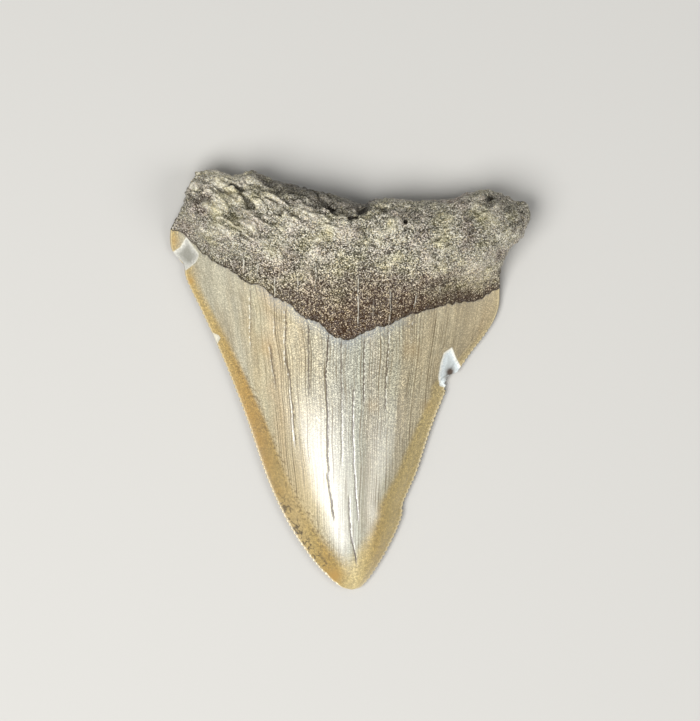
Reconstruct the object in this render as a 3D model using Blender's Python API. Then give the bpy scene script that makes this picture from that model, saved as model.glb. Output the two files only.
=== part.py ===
"""A fossil megalodon tooth, lying on its flatter outer face with the domed inner face up.

The tooth grew as one piece, crown and root together, so it is one closed solid. It is a loft between
unlike sections: the crown's are lenses that thin out to the cutting edges, and the root's are thick and
round-ended. It is a tooth of three inches, 76 mm from the tip to the higher corner of the root.
Frame: +X across the tooth, +Y from the tip towards the root, +Z up. The origin is under the middle of the
tooth's box, on the surface that it lies on. Every length below is in millimetres.
"""

import bmesh
import bpy
import numpy as np

MM = 0.001

# Driving sizes: the serrations, the outline's height over the resting surface, and how fast the crown thins.
SERRATION_PITCH = 0.82
SERRATION_DEPTH = 0.22
EDGE_HEIGHT = 1.2
ROOT_EDGE_HEIGHT = 5.6
CROWN_TAPER = 1.3
TIP_FLATNESS = 2.8
LINE_FLATNESS = 2.3
TIP_LEAN = 0.3

# The outline: each cutting edge from the tip to where its enamel ends, then the root's lobe to its corner.
LEFT_CUTTING_EDGE = [
    (0.34, -36.16), (-1.37, -35.73), (-2.75, -34.75), (-4.98, -32.64), (-8.25, -28.51), (-11.34, -23.36),
    (-13.74, -18.21), (-15.63, -13.06), (-17.35, -7.9), (-19.24, -2.75), (-21.3, 2.4), (-23.53, 7.56),
    (-25.94, 12.71), (-27.48, 15.8), (-28.34, 17.86), (-28.77, 20.1), (-29.72, 21.13), (-30.75, 22.5),
    (-31.01, 24.05), (-30.92, 25.9),
]
LEFT_LOBE = [
    (-30.92, 25.9), (-30.49, 26.8), (-29.72, 28.34), (-28.86, 30.23), (-28.34, 32.29), (-26.45, 35.47),
]
RIGHT_CUTTING_EDGE = [
    (0.34, -36.16), (1.72, -35.73), (2.75, -34.75), (4.29, -32.64), (6.7, -28.51), (8.16, -25.42),
    (8.93, -23.19), (9.02, -21.64), (9.96, -19.24), (11.34, -16.15), (12.71, -12.02), (14.09, -7.9),
    (15.63, -3.95), (17.0, -0.9), (18.45, 1.3), (20.61, 4.47), (23.02, 7.56), (24.91, 10.56), (25.59, 12.54),
    (25.77, 15.8),
]
RIGHT_LOBE = [
    (25.77, 15.8), (25.77, 17.52), (26.28, 19.93), (27.66, 22.5), (29.37, 24.39), (30.58, 26.28),
    (31.01, 27.83), (30.75, 29.2), (29.8, 30.58),
]
# The root's upper edge, from the left lobe's corner through the notch to the right lobe's corner.
TOP_EDGE = [
    (-26.45, 35.47), (-24.56, 36.16), (-23.02, 35.99), (-21.64, 35.39), (-18.9, 35.3), (-17.18, 35.99),
    (-15.46, 35.56), (-13.4, 34.44), (-10.31, 33.84), (-6.18, 32.64), (-3.09, 31.78), (0.0, 31.01),
    (2.58, 29.97), (3.95, 30.75), (6.87, 31.18), (13.74, 30.83), (17.52, 31.09), (21.64, 32.29),
    (23.36, 32.81), (26.8, 31.44), (29.8, 30.58),
]
TIP_Y = LEFT_CUTTING_EDGE[0][1]

# Where the enamel ends: a deep V on the inner face, and a shallow arch on the outer face.
INNER_ENAMEL_LINE = [
    (-30.92, 25.9), (-28.34, 24.74), (-24.22, 20.96), (-20.44, 18.72), (-17.18, 16.49), (-12.88, 14.09),
    (-7.9, 10.65), (-3.44, 7.73), (-0.17, 6.79), (4.81, 9.1), (10.48, 11.17), (20.27, 13.48), (25.77, 15.8),
]
OUTER_ENAMEL_LINE = [
    (-30.92, 25.9), (-28.34, 22.67), (-23.19, 19.24), (-17.18, 17.69), (-10.31, 17.86), (0.86, 19.75),
    (6.01, 18.9), (12.02, 17.18), (18.9, 15.98), (25.77, 15.8),
]
ENAMEL_STEP = 0.2

# Height of the inner face over the resting surface, along the middle of the tooth: (y, height).
MIDDLE_HEIGHT = [
    (-36.2, 1.9), (-33.0, 3.3), (-30.0, 4.4), (-25.0, 5.6), (-20.0, 6.4), (-13.0, 7.1), (-6.0, 7.8),
    (0.0, 8.8), (7.0, 10.4), (13.0, 12.1), (18.0, 13.3), (22.0, 14.0), (25.5, 14.2), (29.0, 13.8),
    (36.5, 12.8),
]
LOBE_DROP = 0.16
ROOT_ROUNDING = 6.5
TIP_ROUNDING = 2.6
ROOT_CLEARANCE = 0.3
CROWN_SINK = 0.15

# Flakes knocked off the inner face at the cutting edges: corners of each scar, and how deep it goes.
RIGHT_SCAR = [
    (16.15, 4.64), (17.52, 5.58), (18.21, 3.78), (19.4, 1.7), (18.04, 0.2), (17.4, -1.6), (15.46, -1.03),
    (15.2, 0.34),
]
LEFT_SCAR = [
    (-28.17, 24.56), (-25.94, 21.56), (-26.45, 20.27), (-28.3, 18.9), (-29.6, 20.4), (-30.7, 21.9),
    (-29.2, 22.85),
]
SCAR_DEPTH = 0.55
SCAR_RIM = 0.8
# Bites out of the right cutting edge: (y, half the height, depth).
RIGHT_BITES = [(0.15, 1.25, 0.95), (-1.35, 0.55, 0.45)]

# Lumps of the worn root: (spacing, height).
ROOT_LUMPS = [(9.0, 0.75), (4.2, 0.42), (2.2, 0.2)]
# Ledges and slits of the root's inner face: (start, end, width, depth).
ROOT_LEDGES = [
    ((-20.9, 33.4), (-17.2, 30.2), 1.0, 0.9), ((-15.2, 31.2), (-12.0, 29.6), 1.1, 0.7),
    ((-7.4, 32.6), (-3.4, 30.6), 1.0, 0.5), ((-3.4, 30.6), (0.6, 28.7), 1.0, 0.5),
    ((-0.6, 28.2), (2.4, 29.8), 1.2, 1.0), ((-1.7, 23.4), (3.3, 22.7), 1.0, 0.45),
]
LATTICE = 24

COLUMNS = 40
ROOT_ROWS = 16
EDGE_STEPS = 4


def smooth_through(knots, at):
    """Height at each place of a cubic curve through (place, height) knots, sloped by their neighbours."""
    place, height = np.array(knots, float).T
    slope = np.gradient(height, place)
    i = np.clip(np.searchsorted(place, at) - 1, 0, len(place) - 2)
    step = place[i + 1] - place[i]
    t = np.clip((at - place[i]) / step, 0, 1)
    start = (1 + 2 * t) * (1 - t) ** 2 * height[i] + t * (1 - t) ** 2 * step * slope[i]
    end = t * t * (3 - 2 * t) * height[i + 1] + t * t * (t - 1) * step * slope[i + 1]
    return start + end


def along(points, share):
    """The smooth outline through the points, at a share of its length: an array of x and y."""
    x, y = np.array(points, float).T
    walked = np.concatenate([[0], np.cumsum(np.hypot(np.diff(x), np.diff(y)))])
    at = share * walked[-1]
    return np.array([smooth_through(list(zip(walked, x)), at), smooth_through(list(zip(walked, y)), at)])


def ease(low, high, value):
    """0 below low, 1 above high, and a smooth step between them."""
    t = np.clip((value - low) / (high - low), 0, 1)
    return t * t * (3 - 2 * t)


def quarter_round(share):
    """The height of a quarter circle at this share of its radius from the outer side."""
    return np.sqrt(1 - (1 - np.clip(share, 0, 1)) ** 2)


def lattice_noise(points, spacing, seed):
    """Gradient noise of about -1 to 1: random slopes at a cubic lattice's corners, blended between them."""
    slopes = np.random.default_rng(seed).normal(0, 1, (LATTICE, LATTICE, LATTICE, 3))
    place = points / spacing
    cell = np.floor(place).astype(int)
    inside = place - cell
    blend = inside**3 * (inside * (6 * inside - 15) + 10)
    total = np.zeros(len(points))
    for corner in np.ndindex(2, 2, 2):
        share = np.prod(np.where(corner, blend, 1 - blend), axis=1)
        i, j, k = ((cell + corner) % LATTICE).T
        total += share * np.sum(slopes[i, j, k] * (inside - corner), axis=1)
    return total


def inside_polygon(x, y, corners):
    """Distance from each point to the nearest side of a polygon, positive inside it."""
    nearest = np.full(x.shape, np.inf)
    within = np.zeros(x.shape, bool)
    for (ax, ay), (bx, by) in zip(corners, corners[1:] + corners[:1]):
        ex, ey = bx - ax, by - ay
        t = np.clip(((x - ax) * ex + (y - ay) * ey) / (ex * ex + ey * ey), 0, 1)
        nearest = np.minimum(nearest, np.hypot(x - ax - t * ex, y - ay - t * ey))
        crosses = (ay > y) != (by > y)
        rise = np.where(ey == 0, 1.0, ey)
        within ^= crosses & (x < ax + (y - ay) * ex / rise)
    return np.where(within, nearest, -nearest)


def segment_distance(x, y, start, end):
    """Distance from each point to a straight line between two points."""
    ex, ey = end[0] - start[0], end[1] - start[1]
    t = np.clip(((x - start[0]) * ex + (y - start[1]) * ey) / (ex * ex + ey * ey), 0, 1)
    return np.hypot(x - start[0] - t * ex, y - start[1] - t * ey)


def rise_over_chord(line, share):
    """How far a line across the tooth stands above the straight chord between its two ends."""
    (left_x, left_y), (right_x, right_y) = line[0], line[-1]
    return smooth_through(line, left_x + share * (right_x - left_x)) - left_y - share * (right_y - left_y)


def plan(u, v, face):
    """Where the sheet's point (u, v) lies in plan: u runs from -1 to 1 between the two sides of the outline.

    v is 0 at the tip, 1 where the enamel ends and 2 at the root's upper edge. Each row is a straight chord
    between the two sides, bent so that row 1 follows the face's enamel line and row 2 the upper edge.
    Returns x, y, half the chord's length and how far the point is below the upper edge.
    """
    crown, root = np.minimum(v, 1), np.maximum(v - 1, 0)
    left = np.where(v <= 1, along(LEFT_CUTTING_EDGE, crown), along(LEFT_LOBE, root))
    right = np.where(v <= 1, along(RIGHT_CUTTING_EDGE, crown), along(RIGHT_LOBE, root))
    share = (1 + u) / 2
    x, y = left + share * (right - left)
    for bite_y, half, depth in RIGHT_BITES:
        x = x - depth * ease(0.5, 1, u) * (1 - ease(0.55 * half, half, np.abs(right[1] - bite_y)))
    inner, outer = rise_over_chord(INNER_ENAMEL_LINE, share), rise_over_chord(OUTER_ENAMEL_LINE, share)
    enamel_line = np.where(face > 0, inner, outer)
    y = y + crown**2 * enamel_line + root * (rise_over_chord(TOP_EDGE, share) - enamel_line)
    return x, y, np.hypot(*(right - left)) / 2, smooth_through(TOP_EDGE, x) - y


def crown_lens(u, v):
    """Share of the crown's full height across it: 1 less a power of u, raised so that the edges thin out.

    The power falls from the tip to the enamel line. Near the tip the crest lies to the right of the middle.
    """
    up_crown = np.clip(v, 0, 1)
    leaned = u - TIP_LEAN * (1 - up_crown) ** 2 * (1 - u**2)
    flatness = TIP_FLATNESS + (LINE_FLATNESS - TIP_FLATNESS) * up_crown
    return (1 - np.abs(leaned) ** flatness) ** CROWN_TAPER


def over_enamel_line(x, y, face):
    """How far above its face's enamel line a point lies: negative on the crown."""
    line = np.where(face > 0, smooth_through(INNER_ENAMEL_LINE, x), smooth_through(OUTER_ENAMEL_LINE, x))
    return y - line


def face_heights(u, v, face):
    """Heights of the seam, the inner face and the outer face over the resting surface at (u, v)."""
    x, y, half_chord, below_top = plan(u, v, face)
    from_edge = (1 - np.abs(u)) * half_chord
    shoulder = 25.9 + (1 + u) / 2 * (15.8 - 25.9)
    seam = EDGE_HEIGHT + (ROOT_EDGE_HEIGHT - EDGE_HEIGHT) * ease(-3, 7, y - shoulder)
    ends = quarter_round(below_top / ROOT_ROUNDING) * quarter_round((y - TIP_Y) / TIP_ROUNDING)
    pillow = quarter_round(from_edge / ROOT_ROUNDING)
    above_line = over_enamel_line(x, y, face)

    rooted = ease(0, 8, above_line)
    middle = smooth_through(MIDDLE_HEIGHT, y) * (1 - LOBE_DROP * rooted * u**2)
    lens = crown_lens(u, v)
    inner = seam + (middle - seam) * ends * (lens + rooted * (pillow - lens))
    inner -= np.minimum(ENAMEL_STEP, 0.5 * (inner - seam)) * ease(0, 0.3, above_line)

    rooted = ease(0, 7, above_line)
    floor = -CROWN_SINK + (ROOT_CLEARANCE + CROWN_SINK) * rooted
    lens = 1 - u**2
    outer = seam - (seam - floor) * ends * (lens + rooted * (pillow - lens))
    return seam, inner, outer


def carve_inner_face(x, y):
    """How far the flake scars and the root's ledges go down into the inner face."""
    depth = np.zeros(x.shape)
    for corners in (RIGHT_SCAR, LEFT_SCAR):
        depth += SCAR_DEPTH * ease(0, SCAR_RIM, inside_polygon(x, y, corners))
    for start, end, width, deep in ROOT_LEDGES:
        depth += deep * (1 - ease(0, width, segment_distance(x, y, start, end)))
    return depth


def flat_sheets():
    """Two sheets of (u, v) points, joined along the outline and finer in v beside the cutting edges.

    The third coordinate says which face a point is on: 1 the inner, -1 the outer, 0 the seam that they share.
    """
    edge_x, edge_y = np.array(RIGHT_CUTTING_EDGE).T
    cutting_edge = np.sum(np.hypot(np.diff(edge_x), np.diff(edge_y)))
    crown_rows = round(cutting_edge * 2 / (EDGE_STEPS * SERRATION_PITCH))
    quarter_turn = np.linspace(0, 0.42 * np.pi, ROOT_ROWS + 1)[1:]
    rows = np.concatenate([
        np.linspace(0, 1, crown_rows + 1)[1:],
        1 + np.sin(quarter_turn) / np.sin(quarter_turn[-1]),
    ])
    columns = np.sin(np.linspace(-0.5, 0.5, COLUMNS + 1) * np.pi * 0.86) / np.sin(0.43 * np.pi)
    mesh = bmesh.new()
    tip = mesh.verts.new((0, 0, 0))
    outline = {}

    def point(row, column, face):
        on_seam = column in (0, COLUMNS) or row == len(rows) - 1
        if not on_seam:
            return mesh.verts.new((columns[column], rows[row], face))
        if (row, column) not in outline:
            outline[row, column] = mesh.verts.new((columns[column], rows[row], 0))
        return outline[row, column]

    for face in (1, -1):
        grid = [[point(r, c, face) for c in range(COLUMNS + 1)] for r in range(len(rows))]
        for c in range(COLUMNS):
            mesh.faces.new([tip, grid[0][c + 1], grid[0][c]][::face])
            for r in range(len(rows) - 1):
                corners = [grid[r][c], grid[r][c + 1], grid[r + 1][c + 1], grid[r + 1][c]]
                mesh.faces.new(corners[::face])

    def beside_the_edge(edge):
        a, b = (end.co for end in edge.verts)
        same_column = abs(a.x - b.x) < 1e-6 and min(a.y, b.y) > 0
        return same_column and abs(a.x) > columns[-2] - 1e-6 and max(a.y, b.y) < 1 + 1e-6

    bmesh.ops.subdivide_edges(
        mesh,
        edges=[edge for edge in mesh.edges if beside_the_edge(edge)],
        cuts=EDGE_STEPS - 1,
        use_grid_fill=True,
    )
    return mesh, crown_rows


def shape_the_tooth(mesh, crown_rows):
    """Carries every point of the flat sheets to its place, then adds serrations, scars and lumps."""
    flat = np.array([v.co for v in mesh.verts], float)
    u, v, face = flat.T
    x, y, half_chord, below_top = plan(u, v, face)
    seam, inner, outer = face_heights(u, v, face)
    z = np.where(face > 0.5, inner, np.where(face < -0.5, outer, seam))

    step = np.round(v * crown_rows * EDGE_STEPS).astype(int)
    on_edge = (np.abs(u) > 1 - 1e-6) & (v > 0.04) & (v < 0.88)
    x += np.sign(u) * SERRATION_DEPTH * (step % 2 - 0.5) * on_edge
    z -= np.minimum(carve_inner_face(x, y), 0.6 * (inner - outer)) * (face > 0.5)

    for vertex, place in zip(mesh.verts, np.stack([x, y, z], axis=1)):
        vertex.co = place
    mesh.normal_update()
    normals = np.array([vertex.normal for vertex in mesh.verts])
    places = np.stack([x, y, z], axis=1)
    rough = ease(-0.5, 3.5, over_enamel_line(x, y, face))
    lumps = np.zeros(len(places))
    for seed, (spacing, high) in enumerate(ROOT_LUMPS):
        lumps += high * lattice_noise(places, spacing, seed)
    off_outline = ease(0, 2.5, np.minimum((1 - np.abs(u)) * half_chord, below_top))
    sideways = np.stack([off_outline, off_outline, np.ones_like(off_outline)], axis=1)
    places += normals * sideways * (rough * lumps)[:, None]
    places[:, 2] = np.maximum(places[:, 2], 0)
    return places


def centred(places):
    """The same places with the origin under the middle of their box."""
    low, high = places.min(axis=0), places.max(axis=0)
    return places - np.array([(low[0] + high[0]) / 2, (low[1] + high[1]) / 2, low[2]])


def fossil_enamel():
    """Grey-tan enamel, polished by sand: the finish of most of the tooth."""
    material = bpy.data.materials.new("fossil_tooth")
    material.use_nodes = True
    shader = material.node_tree.nodes["Principled BSDF"]
    shader.inputs["Base Color"].default_value = (0.50, 0.43, 0.30, 1)
    shader.inputs["Roughness"].default_value = 0.35
    shader.inputs["Metallic"].default_value = 0
    return material


def make_tooth(collection):
    """The one solid: two shaped sheets, triangulated, in metres."""
    mesh, crown_rows = flat_sheets()
    places = centred(shape_the_tooth(mesh, crown_rows))
    for vertex, place in zip(mesh.verts, places):
        vertex.co = place * MM
    bmesh.ops.triangulate(mesh, faces=mesh.faces)
    data = bpy.data.meshes.new("tooth")
    mesh.to_mesh(data)
    mesh.free()
    data.shade_smooth()
    data.materials.append(fossil_enamel())
    collection.objects.link(bpy.data.objects.new("tooth", data))


for old in list(bpy.data.objects):
    bpy.data.objects.remove(old)
shelf = bpy.data.collections.new("megalodon_tooth")
bpy.context.scene.collection.children.link(shelf)
make_tooth(shelf)
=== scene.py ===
import functools
import math

import bpy
import numpy as np
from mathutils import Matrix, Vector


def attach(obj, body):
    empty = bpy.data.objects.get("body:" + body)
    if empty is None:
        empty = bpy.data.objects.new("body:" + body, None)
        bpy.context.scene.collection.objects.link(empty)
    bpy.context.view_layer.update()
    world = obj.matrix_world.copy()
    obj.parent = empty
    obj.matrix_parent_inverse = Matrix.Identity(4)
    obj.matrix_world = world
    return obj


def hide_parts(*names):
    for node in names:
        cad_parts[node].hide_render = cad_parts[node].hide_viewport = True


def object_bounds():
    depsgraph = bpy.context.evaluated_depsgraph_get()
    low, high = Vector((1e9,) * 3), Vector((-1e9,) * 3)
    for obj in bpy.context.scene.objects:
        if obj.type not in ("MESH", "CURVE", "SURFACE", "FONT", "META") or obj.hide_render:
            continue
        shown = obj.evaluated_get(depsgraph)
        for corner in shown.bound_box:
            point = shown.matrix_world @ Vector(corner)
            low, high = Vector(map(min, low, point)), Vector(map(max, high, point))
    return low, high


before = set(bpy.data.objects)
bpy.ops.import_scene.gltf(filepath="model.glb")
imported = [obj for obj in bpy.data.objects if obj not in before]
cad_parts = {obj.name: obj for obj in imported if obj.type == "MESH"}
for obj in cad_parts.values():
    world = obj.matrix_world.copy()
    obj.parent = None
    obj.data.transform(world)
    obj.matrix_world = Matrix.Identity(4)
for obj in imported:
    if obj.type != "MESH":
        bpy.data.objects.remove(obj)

cad_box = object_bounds()


# THE TOOTH'S FORM
# A fossil megalodon tooth, grown as one piece: an enamel-covered crown with serrated cutting edges on a
# thick, porous root. It lies on its flatter outer face, domed inner face up. All of its lengths here are in
# millimetres.

MM = 0.001
EDGE_HEIGHT = 1.2
ROOT_EDGE_HEIGHT = 5.6
CROWN_TAPER = 1.3
TIP_FLATNESS = 2.8
LINE_FLATNESS = 2.3
TIP_LEAN = 0.3

# The outline: each cutting edge from the tip to where its enamel ends, then the lobe of the root to its
# corner.
LEFT_CUTTING_EDGE = [
    (0.34, -36.16), (-1.37, -35.73), (-2.75, -34.75), (-4.98, -32.64), (-8.25, -28.51), (-11.34, -23.36),
    (-13.74, -18.21), (-15.63, -13.06), (-17.35, -7.9), (-19.24, -2.75), (-21.3, 2.4), (-23.53, 7.56),
    (-25.94, 12.71), (-27.48, 15.8), (-28.34, 17.86), (-28.77, 20.1), (-29.72, 21.13), (-30.75, 22.5),
    (-31.01, 24.05), (-30.92, 25.9),
]
LEFT_LOBE = [
    (-30.92, 25.9), (-30.49, 26.8), (-29.72, 28.34), (-28.86, 30.23), (-28.34, 32.29), (-26.45, 35.47),
]
RIGHT_CUTTING_EDGE = [
    (0.34, -36.16), (1.72, -35.73), (2.75, -34.75), (4.29, -32.64), (6.7, -28.51), (8.16, -25.42),
    (8.93, -23.19), (9.02, -21.64), (9.96, -19.24), (11.34, -16.15), (12.71, -12.02), (14.09, -7.9),
    (15.63, -3.95), (17.0, -0.9), (18.45, 1.3), (20.61, 4.47), (23.02, 7.56), (24.91, 10.56), (25.59, 12.54),
    (25.77, 15.8),
]
RIGHT_LOBE = [
    (25.77, 15.8), (25.77, 17.52), (26.28, 19.93), (27.66, 22.5), (29.37, 24.39), (30.58, 26.28),
    (31.01, 27.83), (30.75, 29.2), (29.8, 30.58),
]
# The root's upper edge, from the left lobe's corner through the notch to the right lobe's corner.
TOP_EDGE = [
    (-26.45, 35.47), (-24.56, 36.16), (-23.02, 35.99), (-21.64, 35.39), (-18.9, 35.3), (-17.18, 35.99),
    (-15.46, 35.56), (-13.4, 34.44), (-10.31, 33.84), (-6.18, 32.64), (-3.09, 31.78), (0.0, 31.01),
    (1.37, 30.4), (2.58, 29.97), (3.95, 30.75), (6.87, 31.18), (9.28, 30.92), (13.74, 30.83), (17.52, 31.09),
    (19.58, 31.78), (21.64, 32.29), (23.36, 32.81), (25.08, 32.29), (26.8, 31.44), (29.8, 30.58),
]
TIP_Y = LEFT_CUTTING_EDGE[0][1]

# Where the enamel ends: a deep V on the inner face, and a shallow arch on the outer face.
INNER_ENAMEL_LINE = [
    (-30.92, 25.9), (-29.55, 25.6), (-28.34, 24.74), (-25.94, 22.33), (-24.22, 20.96), (-20.44, 18.72),
    (-17.18, 16.49), (-15.12, 16.15), (-12.88, 14.09), (-10.65, 13.23), (-7.9, 10.65), (-5.67, 9.96),
    (-3.44, 7.73), (-1.72, 7.04), (-0.17, 6.79), (1.72, 7.73), (4.81, 9.1), (6.53, 9.36), (7.9, 10.13),
    (10.48, 11.17), (13.23, 12.02), (16.83, 12.88), (20.27, 13.48), (22.5, 13.83), (24.56, 15.29),
    (25.77, 15.8),
]
OUTER_ENAMEL_LINE = [
    (-30.92, 25.9), (-28.34, 22.67), (-23.19, 19.24), (-17.18, 17.69), (-10.31, 17.86), (0.86, 19.75),
    (6.01, 18.9), (12.02, 17.18), (18.9, 15.98), (25.77, 15.8),
]
ENAMEL_STEP = 0.2

# Height of the inner face over the resting surface, along the middle of the tooth: (y, height).
MIDDLE_HEIGHT = [
    (-36.2, 1.9), (-33.0, 3.3), (-30.0, 4.4), (-25.0, 5.6), (-20.0, 6.4), (-13.0, 7.1), (-6.0, 7.8),
    (0.0, 8.8), (7.0, 10.4), (13.0, 12.1), (18.0, 13.3), (22.0, 14.0), (25.5, 14.2), (29.0, 13.8),
    (36.5, 12.8),
]
LOBE_DROP = 0.16
ROOT_ROUNDING = 6.5
TIP_ROUNDING = 2.6
ROOT_CLEARANCE = 0.3
CROWN_SINK = 0.15
# Bites out of the right cutting edge: (y, half the height, depth).
RIGHT_BITES = [(0.15, 1.25, 0.95), (-1.35, 0.55, 0.45)]


def smooth_through(knots, at):
    """Height at each place of a cubic curve through (place, height) knots, sloped by their neighbours."""
    place, height = np.array(knots, float).T
    slope = np.gradient(height, place)
    i = np.clip(np.searchsorted(place, at) - 1, 0, len(place) - 2)
    step = place[i + 1] - place[i]
    t = np.clip((at - place[i]) / step, 0, 1)
    start = (1 + 2 * t) * (1 - t) ** 2 * height[i] + t * (1 - t) ** 2 * step * slope[i]
    end = t * t * (3 - 2 * t) * height[i + 1] + t * t * (t - 1) * step * slope[i + 1]
    return start + end


# Seen closely, the inner face's enamel line is ragged by a tenth of a millimetre every 0.45 mm.
RAGGED_POINTS = 127
RAGGED_BY = 0.13
ragged_x = np.linspace(INNER_ENAMEL_LINE[0][0], INNER_ENAMEL_LINE[-1][0], RAGGED_POINTS)
ragged_y = smooth_through(INNER_ENAMEL_LINE, ragged_x)
ragged_y[1:-1] += np.random.default_rng(5).normal(0, RAGGED_BY, RAGGED_POINTS - 2)
INNER_ENAMEL_LINE = list(zip(ragged_x.tolist(), ragged_y.tolist()))


def walked_length(points):
    """Length of the broken line through the points, up to each of them."""
    x, y = np.array(points, float).T
    return np.concatenate([[0], np.cumsum(np.hypot(np.diff(x), np.diff(y)))])


def along(points, share):
    """The smooth outline through the points, at a share of its length: an array of x and y."""
    x, y = np.array(points, float).T
    walked = walked_length(points)
    at = share * walked[-1]
    return np.array([smooth_through(list(zip(walked, x)), at), smooth_through(list(zip(walked, y)), at)])


def ease(low, high, value):
    """0 below low, 1 above high, and a smooth step between them."""
    t = np.clip((value - low) / (high - low), 0, 1)
    return t * t * (3 - 2 * t)


def quarter_round(share):
    """The height of a quarter circle at this share of its radius from the outer side."""
    return np.sqrt(1 - (1 - np.clip(share, 0, 1)) ** 2)


def rise_over_chord(line, share):
    """How far a line across the tooth stands above the straight chord between its two ends."""
    (left_x, left_y), (right_x, right_y) = line[0], line[-1]
    return smooth_through(line, left_x + share * (right_x - left_x)) - left_y - share * (right_y - left_y)


def plan(u, v, face):
    """Where the sheet's point (u, v) lies in plan: u runs from -1 to 1 between the two sides of the outline.

    v is 0 at the tip, 1 where the enamel ends and 2 at the root's upper edge. Each row is a straight chord
    between the two sides, bent so that row 1 follows the face's enamel line and row 2 the upper edge.
    Returns x, y, half the chord's length and how far the point is below the upper edge.
    """
    crown, root = np.minimum(v, 1), np.maximum(v - 1, 0)
    left = np.where(v <= 1, along(LEFT_CUTTING_EDGE, crown), along(LEFT_LOBE, root))
    right = np.where(v <= 1, along(RIGHT_CUTTING_EDGE, crown), along(RIGHT_LOBE, root))
    share = (1 + u) / 2
    x, y = left + share * (right - left)
    for bite_y, half, depth in RIGHT_BITES:
        x = x - depth * ease(0.5, 1, u) * (1 - ease(0.55 * half, half, np.abs(right[1] - bite_y)))
    inner, outer = rise_over_chord(INNER_ENAMEL_LINE, share), rise_over_chord(OUTER_ENAMEL_LINE, share)
    enamel_line = np.where(face > 0, inner, outer)
    y = y + crown**2 * enamel_line + root * (rise_over_chord(TOP_EDGE, share) - enamel_line)
    return x, y, np.hypot(*(right - left)) / 2, smooth_through(TOP_EDGE, x) - y


def crown_lens(u, v):
    """Share of the crown's full height across it: 1 less a power of u, raised so that the edges thin out.

    The power falls from the tip to the enamel line. Near the tip the crest lies to the right of the middle.
    """
    up_crown = np.clip(v, 0, 1)
    leaned = u - TIP_LEAN * (1 - up_crown) ** 2 * (1 - u**2)
    flatness = TIP_FLATNESS + (LINE_FLATNESS - TIP_FLATNESS) * up_crown
    return (1 - np.abs(leaned) ** flatness) ** CROWN_TAPER


def over_enamel_line(x, y, face):
    """How far above its face's enamel line a point lies: negative on the crown."""
    line = np.where(face > 0, smooth_through(INNER_ENAMEL_LINE, x), smooth_through(OUTER_ENAMEL_LINE, x))
    return y - line


def face_heights(u, v, face):
    """Heights of the seam, the inner face and the outer face over the resting surface at (u, v)."""
    x, y, half_chord, below_top = plan(u, v, face)
    from_edge = (1 - np.abs(u)) * half_chord
    left_end, right_end = LEFT_CUTTING_EDGE[-1][1], RIGHT_CUTTING_EDGE[-1][1]
    shoulder = left_end + (1 + u) / 2 * (right_end - left_end)
    seam = EDGE_HEIGHT + (ROOT_EDGE_HEIGHT - EDGE_HEIGHT) * ease(-3, 7, y - shoulder)
    ends = quarter_round(below_top / ROOT_ROUNDING) * quarter_round((y - TIP_Y) / TIP_ROUNDING)
    pillow = quarter_round(from_edge / ROOT_ROUNDING)
    above_line = over_enamel_line(x, y, face)

    rooted = ease(0, 8, above_line)
    middle = smooth_through(MIDDLE_HEIGHT, y) * (1 - LOBE_DROP * rooted * u**2)
    lens = crown_lens(u, v)
    inner = seam + (middle - seam) * ends * (lens + rooted * (pillow - lens))
    inner -= np.minimum(ENAMEL_STEP, 0.5 * (inner - seam)) * ease(0, 0.3, above_line)

    rooted = ease(0, 7, above_line)
    floor = -CROWN_SINK + (ROOT_CLEARANCE + CROWN_SINK) * rooted
    lens = 1 - u**2
    outer = seam - (seam - floor) * ends * (lens + rooted * (pillow - lens))
    outer += ENAMEL_STEP * ends * ease(0, 0.3, above_line) * (1 - ease(2, 5, above_line))
    return seam, inner, outer


# THE TOOTH'S WEAR AND DETAIL
# What use, burial and collecting left on it: serrations at their real spacing, growth cracks in the enamel,
# flakes knocked off at the cutting edges, and the ledges, pits and lumps of the eroded root.

SERRATION_PITCH = 0.82
SERRATION_DEPTH = 0.3

# Flake scars of the inner face: corners of each, and how deep it goes.
RIGHT_SCAR = [
    (16.15, 4.64), (17.52, 5.58), (18.21, 3.78), (19.4, 1.7), (18.04, 0.2), (17.4, -1.6), (15.46, -1.03),
    (15.2, 0.34), (15.55, 2.75),
]
LEFT_SCAR = [
    (-28.17, 24.56), (-25.94, 21.56), (-26.45, 20.27), (-28.3, 18.9), (-29.6, 20.4), (-30.7, 21.9),
    (-29.2, 22.85),
]
NICK = [(-24.2, 8.3), (-22.2, 7.5), (-22.9, 6.2), (-24.0, 6.0)]
SCAR_DEPTH = 0.55
# Painted shade of the holes in the right scar, which are not cut: (x, y, radius, strength).
SCAR_HOLE_SHADE = [(17.2, 1.4, 0.6, 1.6), (16.8, 0.3, 0.5, 0.9)]
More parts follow.
